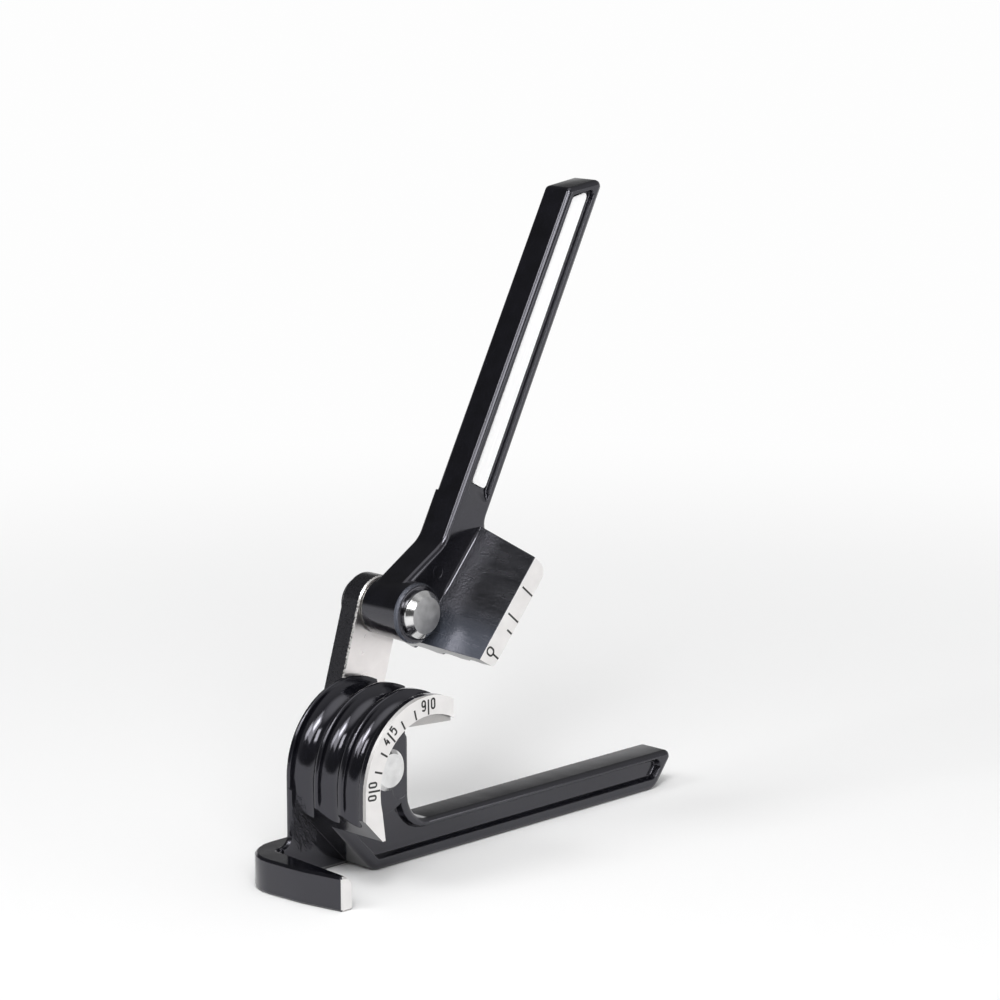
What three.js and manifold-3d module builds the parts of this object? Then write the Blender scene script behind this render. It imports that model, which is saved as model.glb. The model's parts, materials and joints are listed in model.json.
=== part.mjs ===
// Hand tube bender for three tube sizes, with a ninety degree scale on its form
import * as THREE from 'three';
import { mergeVertices } from 'three/addons/utils/BufferGeometryUtils.js';
import Module from 'manifold-3d';

const wasm = await Module();
wasm.setup();

// All sizes are in millimetres and all angles in degrees.
// The outlines are drawn from the form's pivot: X along the lower handle, Y back, Z up,
// with Y = 0 on the scale face.

// Tubes and grooves
const smallTube = 6.35;
const middleTube = 7.94;
const largeTube = 9.53;
const bendRadius = 23.8;
const frontRim = 2.5;
const smallRib = 1.8;
const largeRib = 1.2;
const backRim = 1.4;
const crestRound = 0.55;
const crestDrop = 0.4;

// Form of the casting
const tangentLength = 6;
const endAngle = 46.2;
const armReach = 8.8;
const bandWidth = 5.8;
const bandHeight = 1.2;
const beakTaper = 1.9;
const armRootDrop = 1.9;
const armTipDrop = 3.1;
const crestRelief = 1.9;
const reliefStart = 100;
const beakBlunt = 1.3;
const webSetback = 18.5;
const cavityDraft = 4;
const pivotBossRadius = 13.2;
const webEdge = 10.3;
const webEdgeTop = 8;
const throatFillet = 8;

// Lower handle
const axisHeight = 28.2;
const lowerHeight = 10.6;
const lowerThickness = 10.9;
const lowerTip = 117.6;
const lowerTipSlant = 8.2;
const restPoint = 50;
const tipRound = 1.8;
const heelRound = 5;
const edgeRound = 1.3;
const cornerRound = 2;
const rimWidth = 1.7;
const lowerRimWidth = 3.1;
const tipRim = 2.3;
const panelDepth = 1.8;
const panelDraft = 0.8;

// Hook that holds the free end of the tube
const hookHeight = 9.4;
const hookTipOverhang = 1;
const hookTipThickness = 4.2;
const hookSplay = 3.6;
const hookBackDepth = 5.8;
const hookCornerRadius = 12;
const hookChamfer = 2.8;
const hookChamferTurn = 5;
const hookEdge = 0.6;
const tubeSlack = 0.2;
const gussetLength = 12;
const wallCove = 3;

// Link
const linkRestAngle = 73;
const linkHalfWidth = 8.1;
const linkThickness = 6.5;
const linkEdge = 0.4;

// Upper handle with its shoe
const handleRestAngle = 62.3;
const shoeTurn = 13.1;
const shoeGap = 0.5;
const shoeRim = 17.9;
const shoeLip = 6.1;
const shoeRoot = 10.4;
const shoeHeel = 4;
const shoeHeelLean = 10;
const shoeHeelRound = 2;
const shoeLength = 28.2;
const shoeFlare = 4;
const toeCornerShare = 0.41;
const toeThroatShare = 0.41;
const armSetback = 20.1;
const armThickness = 9.8;
const armLength = 132.6;
const armTipSlant = 8.2;
const armOffset = 3.7;
const armRootWidth = 12.5;
const armTipWidth = 11.7;
const armBend = 21;
const rootEnd = 35;
const bossRadius = 8.3;
const bossBackRadius = 7.6;
const bossSetback = 16.5;
const bossEdge = 1.2;
const pocketMargin = 2.1;
const pocketDepth = 1.4;
const pocketDraft = 0.5;
const pocketStart = 36;
const pocketRound = 1.2;
const pocketRamp = 3;

// Pivots, washers, rings and the label plate
const formPinRadius = 4;
const formHeadRadius = 5.7;
const formHeadHeight = 3.9;
const formHeadChamfer = 1.1;
const shoePinRadius = 4.5;
const shoeHeadRadius = 6.5;
const shoeHeadHeight = 2.9;
const shoeHeadChamfer = 1.5;
const runningFit = 0.08;
const seatGap = 0.2;
const washerThickness = 0.4;
const washerRadius = 7.2;
const ringThickness = 1;
const ringDepth = 0.6;
const ringWall = 2;
const ringPlay = 0.1;
const headGap = 0.1;
const ringMouthAngle = 80;
const pinTail = 1.2;
const pinTailChamfer = 0.5;
const labelThickness = 0.5;
const labelFit = 0.35;

// Finish of the curves
const turnSteps = 96;
const grooveSteps = 10;
const filletSteps = 3;
const overrun = 5;
const farOut = 60;

// Places worked out from the sizes
const radians = THREE.MathUtils.degToRad;
const tubes = [smallTube, middleTube, largeTube];
const ribs = [frontRim, smallRib, largeRib, backRim];
const formWidth = tubes.concat(ribs).reduce((sum, size) => sum + size, 0);
const grooveCentres = tubes.map((tube, index) => {
  const before = tubes.slice(0, index).concat(ribs.slice(0, index + 1));
  return before.reduce((sum, size) => sum + size, tube / 2);
});
const wallFront = formWidth - backRim;
const lowerTop = lowerHeight - axisHeight;
const lowerBack = webSetback + lowerThickness;
const endSlope = Math.tan(radians(endAngle));
const bandInner = bendRadius - bandWidth;
const beakReach = bandInner - beakTaper;
const beakDrop = tangentLength + (bendRadius - beakReach) * endSlope;
const armRoot = bandInner - armRootDrop;
const cavityLean = cavityDraft / webSetback;
const linkFront = formWidth + washerThickness + 2 * seatGap;
const linkBack = linkFront + linkThickness;
const rearWasherFront = linkBack + seatGap;
const ringFront = rearWasherFront + washerThickness + seatGap;
const pinEnd = ringFront + ringThickness + pinTail;
const linkLength = bendRadius + shoeGap + shoeRim;
const armBack = armSetback + armThickness;
const armRight = -armOffset - armRootWidth;
const toeReach = shoeLength + shoeFlare;
const toeRoot = (-armRight - toeReach * Math.sin(radians(shoeTurn))) / Math.cos(radians(shoeTurn));
const shoeCorner = toeCornerShare * (shoeRim - toeRoot);
const armThroat = toeThroatShare * (shoeRim - toeRoot) / Math.tan(Math.PI / 4 - radians(shoeTurn) / 2);

// Colours from the photograph
const blackPaint = { color: 0x0d0d10, roughness: 0.18, metalness: 0.0 };
const machined = { color: 0xd9dadb, roughness: 0.35, metalness: 0.9 };
const plated = { color: 0xc4c6c8, roughness: 0.22, metalness: 1.0 };
const printed = { color: 0xeeeeee, roughness: 0.45, metalness: 0.3 };

// Turns a closed geometry into a solid that can be joined and cut
function toSolid(geometry) {
  geometry.deleteAttribute('normal');
  geometry.deleteAttribute('uv');
  const merged = mergeVertices(geometry);
  const triangles = [];
  for (let corner = 0; corner < merged.index.count; corner += 3) {
    const [a, b, c] = [0, 1, 2].map((step) => merged.index.getX(corner + step));
    if (a !== b && b !== c && c !== a) triangles.push(a, b, c);
  }
  return new wasm.Manifold(new wasm.Mesh({
    numProp: 3,
    vertProperties: new Float32Array(merged.attributes.position.array),
    triVerts: new Uint32Array(triangles),
  }));
}

function toMesh(name, solid, finish) {
  const { vertProperties, triVerts } = solid.getMesh();
  const geometry = new THREE.BufferGeometry();
  geometry.setAttribute('position', new THREE.BufferAttribute(vertProperties, 3));
  geometry.setIndex(new THREE.BufferAttribute(triVerts, 1));
  geometry.computeVertexNormals();
  const mesh = new THREE.Mesh(geometry, new THREE.MeshStandardMaterial(finish));
  mesh.name = name;
  return mesh;
}

// Closed outline through corners [x, z, radius], each corner rounded by its radius
function outline(corners) {
  const shape = new THREE.Shape();
  const points = corners.map(([x, z]) => new THREE.Vector2(x, z));
  corners.forEach(([x, z, radius], index) => {
    if (radius === 0) {
      if (index === 0) shape.moveTo(x, z);
      else shape.lineTo(x, z);
      return;
    }
    const corner = points[index];
    const before = points.at(index - 1).clone().sub(corner).normalize();
    const after = points[(index + 1) % points.length].clone().sub(corner).normalize();
    const half = before.angleTo(after) / 2;
    const enter = before.clone().multiplyScalar(radius / Math.tan(half));
    const leave = after.clone().multiplyScalar(radius / Math.tan(half));
    const centre = before.clone().add(after).setLength(radius / Math.sin(half));
    const start = enter.sub(centre).angle();
    const end = leave.sub(centre).angle();
    shape.absarc(x + centre.x, z + centre.y, radius, start, end, before.cross(after) > 0);
  });
  shape.closePath();
  return shape;
}

// Extrudes an outline drawn in X and Z from one Y to another, its edges rounded by a radius
function slab(shape, front, back, round = 0, steps = filletSteps) {
  const geometry = new THREE.ExtrudeGeometry(shape, {
    depth: back - front - 2 * round,
    curveSegments: filletSteps,
    bevelEnabled: round > 0,
    bevelThickness: round,
    bevelSize: round,
    bevelOffset: -round,
    bevelSegments: steps,
  });
  return toSolid(geometry.rotateX(Math.PI / 2).translate(0, back - round, 0));
}

// Cutter that has the whole outline at a face and narrows by the draft at its depth
function draftedCutter(shape, face, depth, draft) {
  const geometry = new THREE.ExtrudeGeometry(shape, {
    depth: overrun,
    curveSegments: filletSteps,
    bevelThickness: depth,
    bevelSize: draft,
    bevelOffset: -draft,
    bevelSegments: 1,
  });
  return toSolid(geometry.rotateX(Math.PI / 2).translate(0, face, 0));
}

// Extrudes a plan outline drawn in X and Y upwards from one height to another
function block(shape, bottom, top, round = 0) {
  const geometry = new THREE.ExtrudeGeometry(shape, {
    depth: top - bottom - 2 * round,
    curveSegments: filletSteps,
    bevelEnabled: round > 0,
    bevelThickness: round,
    bevelSize: round,
    bevelOffset: -round,
    bevelSegments: 1,
  });
  return toSolid(geometry.translate(0, 0, bottom + round));
}

// Turns a profile of [radius, y] points round the Y axis
function turned(profile, steps = turnSteps) {
  const points = profile.map(([radius, y]) => new THREE.Vector2(radius, y));
  return toSolid(new THREE.LatheGeometry(points, steps));
}

function cylinder(radius, front, back, steps = turnSteps / 2) {
  return turned([[0, front], [radius, front], [radius, back], [0, back]], steps);
}

// Rim profile of the form: three half-round grooves between rounded crests, the front crest highest
function rimProfile() {
  const profile = [[0, 0], [bendRadius - crestRound, 0], [bendRadius, crestRound]];
  tubes.forEach((tube, index) => {
    const near = grooveSide(tube / 2, index === 0 ? 0 : crestDrop);
    const far = grooveSide(tube / 2, crestDrop).reverse().slice(1);
    profile.push(...near.map(([drop, reach]) => [bendRadius - drop, grooveCentres[index] - reach]));
    profile.push(...far.map(([drop, reach]) => [bendRadius - drop, grooveCentres[index] + reach]));
  });
  const crest = bendRadius - crestDrop;
  return profile.concat([[crest, formWidth - crestRound], [crest - crestRound, formWidth], [0, formWidth]]);
}

// One side of a groove from its crest to its bottom, as drops below the bend radius and reaches
function grooveSide(radius, crest) {
  const turn = Math.acos((crest + crestRound) / (radius + crestRound));
  const points = [];
  for (let step = 0; step < filletSteps; step += 1) {
    const angle = turn * step / filletSteps;
    const reach = (radius + crestRound) * Math.sin(turn) - crestRound * Math.sin(angle);
    points.push([crest + crestRound * (1 - Math.cos(angle)), reach]);
  }
  for (let step = 0; step <= grooveSteps; step += 1) {
    const angle = turn * (1 - step / grooveSteps);
    points.push([radius * Math.cos(angle), radius * Math.sin(angle)]);
  }
  return points;
}

// Grooved rim: turned over the top, its crests relieved towards the arm's end, straight below nine o'clock
function groovedRim() {
  const profile = rimProfile();
  const reliefRadius = bendRadius + crestRelief * Math.cos(radians(reliefStart));
  const relief = cylinder(reliefRadius, -overrun, formWidth + overrun, turnSteps);
  const round = turned(profile)
    .intersect(relief.translate([-crestRelief, 0, 0]))
    .trimByPlane([-1, 0, 0], -armReach)
    .trimByPlane([0, 0, 1], -overrun / 2);
  const plan = new THREE.Shape(profile.map(([radius, y]) => new THREE.Vector2(-radius, y)));
  return round.add(block(plan, -beakDrop - overrun, 0));
}

// Height of the sloping end face at a place along X, moved up by an inset
function endHeight(x, inset = 0) {
  return inset * Math.hypot(1, endSlope) - tangentLength - endSlope * (x + bendRadius);
}

// Place along X where the sloping end face, moved up by an inset, is at a height
function endPlace(z, inset = 0) {
  return (endHeight(0, inset) - z) / endSlope;
}

// Web and lower handle as one rounded plate
function webAndHandle() {
  const plate = outline([
    [endPlace(-axisHeight), -axisHeight, heelRound],
    [lowerTip - lowerTipSlant, -axisHeight, heelRound],
    [lowerTip, lowerTop, tipRound],
    [webEdge, lowerTop, throatFillet],
    [webEdge, webEdgeTop, cornerRound],
    [-bandInner, webEdgeTop, cornerRound],
    [-bandInner, endHeight(-bandInner), cornerRound],
  ]);
  return slab(plate, webSetback, lowerBack, edgeRound);
}

// Space inside the band, open to the front, the right and below, its walls leaning in towards the web
function cavity() {
  const cone = turned([
    [0, -overrun],
    [bandInner + cavityLean * overrun, -overrun],
    [bandInner - cavityDraft, webSetback],
    [0, webSetback],
  ]);
  const size = [farOut, webSetback + overrun, 2 * farOut];
  const right = wasm.Manifold.cube(size).translate([0, -overrun, -farOut]);
  const left = wasm.Manifold.cube(size).translate([-farOut, -overrun, -2 * farOut]);
  const root = [-Math.sqrt(bandInner ** 2 - armRoot ** 2), armRoot];
  const underArm = leaningSide(cone.add(right).add(left), root, [armReach, bandInner - armTipDrop]);
  return leaningSide(underArm, [-beakReach, -beakDrop], [-bandInner, 0]);
}

// Trims the cavity to the right of a wall between two places, the wall leaning in with the cavity's draft
function leaningSide(space, from, to) {
  const [x, z] = [to[0] - from[0], to[1] - from[1]];
  const normal = new THREE.Vector3(z, -cavityLean * Math.hypot(x, z), -x).normalize();
  return space.trimByPlane(normal.toArray(), normal.dot(new THREE.Vector3(from[0], 0, from[1])));
}

// Everything left of and below the sloping end face and the beak's blunt tip
function slopingEnd() {
  const tip = endHeight(-beakReach) + beakBlunt;
  const below = new THREE.Shape([
    new THREE.Vector2(-farOut, -tangentLength),
    new THREE.Vector2(-bendRadius, -tangentLength),
    new THREE.Vector2(endPlace(tip), tip),
    new THREE.Vector2(farOut, tip),
    new THREE.Vector2(farOut, -farOut),
    new THREE.Vector2(-farOut, -farOut),
  ]);
  return slab(below, -overrun, wallFront);
}

// Where a panel of the lower handle ends at a height, along its slanted tip
function panelEnd(height) {
  const slope = lowerTipSlant / lowerHeight;
  return lowerTip - slope * (lowerTop - height) - tipRim * Math.hypot(1, slope);
}

// Sunk panel in the front of the web and lower handle, round the pivot boss
function frontPanel() {
  const bottom = lowerRimWidth - axisHeight;
  const top = lowerTop - rimWidth;
  const left = rimWidth + cavityDraft - beakReach;
  const right = webEdge - lowerRimWidth;
  const panel = outline([
    [endPlace(bottom, lowerRimWidth), bottom, cornerRound],
    [panelEnd(bottom), bottom, cornerRound],
    [panelEnd(top), top, cornerRound],
    [right, top, throatFillet + rimWidth],
    [right, 0, cornerRound],
    [left, 0, cornerRound],
    [left, endHeight(left, lowerRimWidth), cornerRound],
  ]);
  const boss = cylinder(pivotBossRadius, webSetback - farOut, webSetback + farOut);
  return draftedCutter(panel, webSetback, panelDepth, panelDraft).subtract(boss);
}

// Sunk panel in the back of the lower handle
function backPanel() {
  const bottom = lowerRimWidth - axisHeight;
  const top = lowerTop - rimWidth;
  const start = webEdge + throatFillet + gussetLength / 2;
  const panel = outline([
    [start, bottom, cornerRound],
    [panelEnd(bottom), bottom, cornerRound],
    [panelEnd(top), top, cornerRound],
    [start, top, cornerRound],
  ]);
  return draftedCutter(panel, lowerBack + overrun, panelDepth + overrun, panelDraft);
}

// Thin wall behind the tube's straight run, with a cove where it meets the hook's foot
function backWall() {
  const foot = hookHeight - axisHeight;
  const left = crestDrop - bendRadius;
  const right = endPlace(-axisHeight) + gussetLength / 2;
  const wall = new THREE.Shape();
  wall.moveTo(left, -tangentLength / 2);
  wall.lineTo(left, foot + wallCove);
  wall.absarc(left - wallCove, foot + wallCove, wallCove, 0, -Math.PI / 2, true);
  wall.lineTo(left - wallCove, hookEdge - axisHeight);
  wall.lineTo(right, hookEdge - axisHeight);
  wall.lineTo(right, -tangentLength / 2);
  return slab(wall, wallFront - crestRound, formWidth, crestRound, 1);
}

// Hook in plan: foot behind the casting, rounded corner, tapering finger towards the front
function hook() {
  const inner = -bendRadius - largeTube / 2 - tubeSlack;
  const outer = inner - hookTipThickness;
  const back = formWidth + hookBackDepth;
  const cornerY = back - hookCornerRadius;
  const heel = endPlace(-axisHeight) + edgeRound;
  const plan = outline([
    [inner, -hookTipOverhang, cornerRound / 2],
    [inner, wallFront, cornerRound],
    [heel, wallFront, 0],
    [heel, lowerBack - lowerThickness / 2, 0],
    [heel + gussetLength, lowerBack - lowerThickness / 2, 0],
    [heel + gussetLength, lowerBack, 0],
    [heel, back, cornerRound],
    [outer - hookSplay, back, hookCornerRadius],
    [outer - hookSplay * cornerY / back, cornerY / 2, 0],
    [outer, -hookTipOverhang, cornerRound / 2],
  ]);
  const top = hookHeight - axisHeight;
  return block(plan, -axisHeight, top, hookEdge).subtract(fingerChamfer(inner, top));
}

// Slanting chamfer along the inner top edge of the hook's finger, widest at the tip
function fingerChamfer(inner, top) {
  const size = hookChamfer;
  const wedge = new THREE.Shape([
    new THREE.Vector2(-size, overrun),
    new THREE.Vector2(-size, 0),
    new THREE.Vector2(0, -size),
    new THREE.Vector2(overrun, -size),
    new THREE.Vector2(overrun, overrun),
  ]);
  const geometry = new THREE.ExtrudeGeometry(wedge, { depth: wallFront, bevelEnabled: false });
  geometry.rotateX(Math.PI / 2).translate(0, wallFront - overrun, 0);
  geometry.rotateZ(radians(-hookChamferTurn)).translate(inner, -hookTipOverhang, top);
  return toSolid(geometry);
}

function formHandle() {
  const landFloor = cylinder(bandInner, -overrun, bandHeight);
  const backBoss = cylinder(pivotBossRadius, lowerBack - edgeRound, formWidth);
  const bore = cylinder(formPinRadius + runningFit, 0, formWidth + overrun);
  return groovedRim()
    .subtract(cavity())
    .subtract(landFloor)
    .subtract(slopingEnd())
    .add(webAndHandle())
    .add(backWall())
    .add(backBoss)
    .subtract(frontPanel())
    .subtract(backPanel())
    .add(hook())
    .subtract(bore);
}

// Flat link with round ends, its outline along X from the form pivot
function link() {
  const side = linkHalfWidth;
  const shape = new THREE.Shape();
  shape.absarc(linkLength, 0, side, -Math.PI / 2, Math.PI / 2, false);
  shape.absarc(0, 0, side, Math.PI / 2, -Math.PI / 2, false);
  const geometry = new THREE.ExtrudeGeometry(shape, {
    depth: linkThickness - 2 * linkEdge,
    curveSegments: 2 * grooveSteps,
    bevelThickness: linkEdge,
    bevelSize: linkEdge,
    bevelOffset: -linkEdge,
    bevelSegments: 1,
  });
  const flat = toSolid(geometry.rotateX(Math.PI / 2).translate(0, linkBack - linkEdge, 0));
  const formBore = cylinder(formPinRadius + runningFit, linkFront - overrun, linkBack + overrun);
  const shoeBore = cylinder(shoePinRadius + runningFit, linkFront - overrun, linkBack + overrun);
  return flat.subtract(formBore).subtract(shoeBore.translate([linkLength, 0, 0]));
}

// Point of the upper handle's frame from a place along the shoe and a distance from the pin
function fromShoe(along, away) {
  const turn = radians(shoeTurn);
  const x = along * Math.cos(turn) - away * Math.sin(turn);
  return [x, -along * Math.sin(turn) - away * Math.cos(turn)];
}

// Upper handle's outline: bent arm and tapered grip, with the shoe's side and the boss's centre
function armOutline() {
  const bend = new THREE.Vector2(armBend, -armOffset);
  const tangent = bend.angle() + Math.acos(bossBackRadius / bend.length());
  return outline([
    [armLength, armRight, tipRound],
    [armLength - armTipSlant, armRight + armTipWidth, tipRound],
    [armBend, -armOffset, bossRadius],
    [bossBackRadius * Math.cos(tangent), bossBackRadius * Math.sin(tangent), 0],
    [0, 0, 0],
    [...fromShoe(shoeHeelPlace(bossBackRadius), bossBackRadius), 0],
    [...fromShoe(shoeHeelPlace(shoeRim), shoeRim), cornerRound],
    [...fromShoe(toeReach, shoeRim), shoeCorner],
    [...fromShoe(toeReach, toeRoot), armThroat],
  ]);
}

// Place of the shoe's leaning heel at a distance from the pin
function shoeHeelPlace(away) {
  return (away + shoeLip - shoeRim) * Math.tan(radians(shoeHeelLean)) - shoeHeel;
}

// Extrudes a section drawn in Y and Z along X
function bar(section, start, end) {
  const geometry = new THREE.ExtrudeGeometry(section, { depth: end - start, bevelEnabled: false });
  return toSolid(geometry.rotateX(Math.PI / 2).rotateZ(Math.PI / 2).translate(start, 0, 0));
}

// Shelf of the shoe in its own frame: X along the grooves, Z away from the grooves
function shoeShelf() {
  const back = armSetback + 2 * edgeRound;
  const section = new THREE.Shape([
    new THREE.Vector2(0, -shoeRim),
    new THREE.Vector2(back, -shoeRim),
    new THREE.Vector2(back, shoeRoot - shoeRim),
    new THREE.Vector2(0, shoeLip - shoeRim),
  ]);
  const heel = outline([
    [shoeHeelPlace(shoeRim), -shoeRim, shoeHeelRound],
    [farOut, -shoeRim, 0],
    [farOut, shoeRoot, 0],
    [shoeHeelPlace(-shoeRoot), shoeRoot, 0],
  ]);
  const toe = outline([
    [shoeLength, -shoeRim, shoeCorner],
    [shoeLength, shoeRoot, 0],
    [-farOut, shoeRoot, 0],
    [-farOut, -shoeRim, 0],
  ]);
  const flare = shoeFlare / armSetback;
  const toeSlab = slab(toe, 0, back).transform([1, 0, 0, 0, flare, 1, 0, 0, 0, 0, 1, 0, 0, 0, 0, 1]);
  return bar(section, -farOut, farOut).intersect(slab(heel, 0, back)).intersect(toeSlab);
}

// The three half-round grooves of the shoe, centred on the tube's line
function shoeGrooves() {
  const depth = -shoeRim - shoeGap;
  const cuts = tubes.map((tube, index) => {
    const groove = cylinder(tube / 2, -farOut, farOut, 4 * grooveSteps);
    return groove.rotate([0, 0, 90]).translate([0, grooveCentres[index], depth]);
  });
  return wasm.Manifold.union(cuts);
}

// Boss of the handle pivot, its front edge rounded and its side tapering to the back
function shoeBoss() {
  const profile = [[0, bossSetback]];
  for (let step = 0; step <= filletSteps; step += 1) {
    const angle = Math.PI / 2 * step / filletSteps;
    const drop = bossEdge * (1 - Math.sin(angle));
    profile.push([bossRadius - drop, bossSetback + bossEdge * (1 - Math.cos(angle))]);
  }
  profile.push([bossBackRadius, formWidth], [0, formWidth]);
  return turned(profile, turnSteps / 2);
}

// Pocket outline in the grip, a margin inside its edges and starting at a place along it
function pocketOutline(margin, start) {
  const right = armRight + margin;
  const taper = (armRootWidth - armTipWidth) / (armLength - armTipSlant - armBend);
  const left = (along) => -armOffset - margin - taper * (along - armBend);
  const slope = armTipSlant / armTipWidth;
  const end = armLength - slope * margin - margin * Math.hypot(1, slope);
  const tipLeft = end - slope * (left(end) - right);
  return outline([
    [start, right, pocketRound],
    [end, right, pocketRound],
    [tipLeft, left(tipLeft), pocketRound],
    [start, left(start), pocketRound],
  ]);
}

// Front pocket, its lower end sloping up to the face like a ramp
function labelPocket() {
  const shape = pocketOutline(pocketMargin, pocketStart);
  const normal = new THREE.Vector3(pocketDepth, -pocketRamp, 0).normalize();
  const offset = normal.dot(new THREE.Vector3(pocketStart, armSetback, 0));
  return draftedCutter(shape, armSetback, pocketDepth, pocketDraft)
    .trimByPlane(normal.toArray(), offset);
}

function rearPocket() {
  const shape = pocketOutline(pocketMargin, pocketStart);
  return draftedCutter(shape, armBack + overrun, pocketDepth + overrun, pocketDraft);
}

function shoeHandle() {
  const grip = slab(armOutline(), armSetback, armBack, edgeRound);
  const root = slab(armOutline(), armSetback, formWidth, edgeRound).trimByPlane([-1, 0, 0], -rootEnd);
  const shoe = shoeShelf().rotate([0, shoeTurn, 0]);
  const bore = cylinder(shoePinRadius + runningFit, 0, formWidth + overrun);
  return grip
    .add(root)
    .add(shoe)
    .add(shoeBoss())
    .subtract(shoeGrooves().rotate([0, shoeTurn, 0]))
    .subtract(labelPocket())
    .subtract(rearPocket())
    .subtract(bore);
}

function labelPlate() {
  const floor = armSetback + pocketDepth - seatGap;
  const inset = pocketMargin + pocketDraft + labelFit;
  return slab(pocketOutline(inset, pocketStart + pocketRamp + labelFit), floor - labelThickness, floor);
}

// Headed pivot pin: chamfered head, shank, ring groove and chamfered tail
function pivotPin(radius, head, seat) {
  const front = seat - head.height;
  const grooveStart = ringFront - ringPlay;
  const grooveEnd = ringFront + ringThickness + ringPlay;
  return turned([
    [0, front],
    [head.radius - head.chamfer, front],
    [head.radius, front + head.chamfer],
    [head.radius, seat - headGap],
    [radius, seat - headGap],
    [radius, grooveStart],
    [radius - ringDepth, grooveStart],
    [radius - ringDepth, grooveEnd],
    [radius, grooveEnd],
    [radius, pinEnd - pinTailChamfer],
    [radius - pinTailChamfer, pinEnd],
    [0, pinEnd],
  ], turnSteps / 2);
}

function washer(bore, front) {
  const disc = cylinder(washerRadius, front, front + washerThickness);
  return disc.subtract(cylinder(bore + runningFit, front - overrun, front + overrun));
}

// Retaining ring: an open ring that snaps into the pin's groove
function retainingRing(radius) {
  const inner = radius - ringDepth + runningFit;
  const outer = radius + ringWall;
  const half = radians(ringMouthAngle) / 2;
  const shape = new THREE.Shape();
  shape.absarc(0, 0, outer, half, 2 * Math.PI - half, false);
  shape.absarc(0, 0, inner, 2 * Math.PI - half, half, true);
  shape.closePath();
  const geometry = new THREE.ExtrudeGeometry(shape, {
    depth: ringThickness,
    curveSegments: 2 * grooveSteps,
    bevelEnabled: false,
  });
  return toSolid(geometry.rotateX(Math.PI / 2).translate(0, ringFront + ringThickness, 0));
}

// Assembly: the casting's frame carries the link's frame, and the link's far end the upper handle's
const part = new THREE.Group();
const formFrame = new THREE.Group();
formFrame.position.set(-restPoint, -(webSetback + lowerThickness / 2), axisHeight);
part.add(formFrame);

const formHead = { radius: formHeadRadius, height: formHeadHeight, chamfer: formHeadChamfer };
formFrame.add(
  toMesh('form_handle', formHandle(), blackPaint),
  toMesh('form_pivot_pin', pivotPin(formPinRadius, formHead, webSetback), plated),
  toMesh('form_thrust_washer', washer(formPinRadius, formWidth + seatGap), machined),
  toMesh('form_rear_washer', washer(formPinRadius, rearWasherFront), machined),
  toMesh('form_retaining_ring', retainingRing(formPinRadius), plated),
);

const linkFrame = new THREE.Group();
linkFrame.rotation.y = -radians(linkRestAngle);
formFrame.add(linkFrame);
linkFrame.add(toMesh('link', link(), machined));

const handleFrame = new THREE.Group();
handleFrame.position.set(linkLength, 0, 0);
handleFrame.rotation.y = radians(linkRestAngle - handleRestAngle);
linkFrame.add(handleFrame);
const shoeHead = { radius: shoeHeadRadius, height: shoeHeadHeight, chamfer: shoeHeadChamfer };
handleFrame.add(
  toMesh('shoe_handle', shoeHandle(), blackPaint),
  toMesh('handle_pivot_pin', pivotPin(shoePinRadius, shoeHead, bossSetback), plated),
  toMesh('shoe_thrust_washer', washer(shoePinRadius, formWidth + seatGap), machined),
  toMesh('shoe_rear_washer', washer(shoePinRadius, rearWasherFront), machined),
  toMesh('shoe_retaining_ring', retainingRing(shoePinRadius), plated),
  toMesh('label_plate', labelPlate(), printed),
);

export default part;
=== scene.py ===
import json
import math

import bmesh
import bpy
import numpy as np
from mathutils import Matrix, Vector


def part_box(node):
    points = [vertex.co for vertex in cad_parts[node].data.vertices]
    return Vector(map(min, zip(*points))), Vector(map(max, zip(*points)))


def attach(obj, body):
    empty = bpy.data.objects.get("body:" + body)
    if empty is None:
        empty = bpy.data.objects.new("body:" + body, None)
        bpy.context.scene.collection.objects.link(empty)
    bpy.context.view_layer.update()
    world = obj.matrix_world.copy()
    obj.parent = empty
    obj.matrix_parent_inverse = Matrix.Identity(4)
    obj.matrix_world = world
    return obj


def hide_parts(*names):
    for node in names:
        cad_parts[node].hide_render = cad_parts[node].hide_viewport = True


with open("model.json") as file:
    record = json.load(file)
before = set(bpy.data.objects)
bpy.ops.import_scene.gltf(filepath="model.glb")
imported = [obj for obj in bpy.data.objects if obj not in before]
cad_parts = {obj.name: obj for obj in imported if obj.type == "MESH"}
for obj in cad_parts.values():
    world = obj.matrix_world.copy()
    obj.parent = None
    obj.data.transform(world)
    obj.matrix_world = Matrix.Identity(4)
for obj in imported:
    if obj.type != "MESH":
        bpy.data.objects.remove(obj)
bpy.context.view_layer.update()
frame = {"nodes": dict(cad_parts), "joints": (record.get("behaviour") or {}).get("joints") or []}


# Camera.
# A long lens a little above the tool, turned towards the left end of its scale face. Its place and
# its angles were worked out from the round and straight edges of the tool in the photograph.

camera_place = (-0.69343, -0.67972, 0.28996)
look_down = 11.47
look_right = 45.6
film_width = 36
lens_length = 130.59
nearest = 0.01
farthest = 50

camera = bpy.data.objects.new("camera", bpy.data.cameras.new("camera"))
bpy.context.scene.collection.objects.link(camera)
bpy.context.scene.camera = camera
camera.location = camera_place
camera.rotation_euler = (math.radians(90 - look_down), 0, math.radians(-look_right))
camera.data.sensor_width = film_width
camera.data.lens = lens_length
camera.data.clip_start = nearest
camera.data.clip_end = farthest
bpy.context.scene.view_settings.view_transform = "Standard"


# Floor and room.
# A white table top that turns into a white sweep, in a room that is dim on the left, lighter on the
# right and bright straight overhead. The gloss paint shows all of it, as its pale and dark sides.

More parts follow.
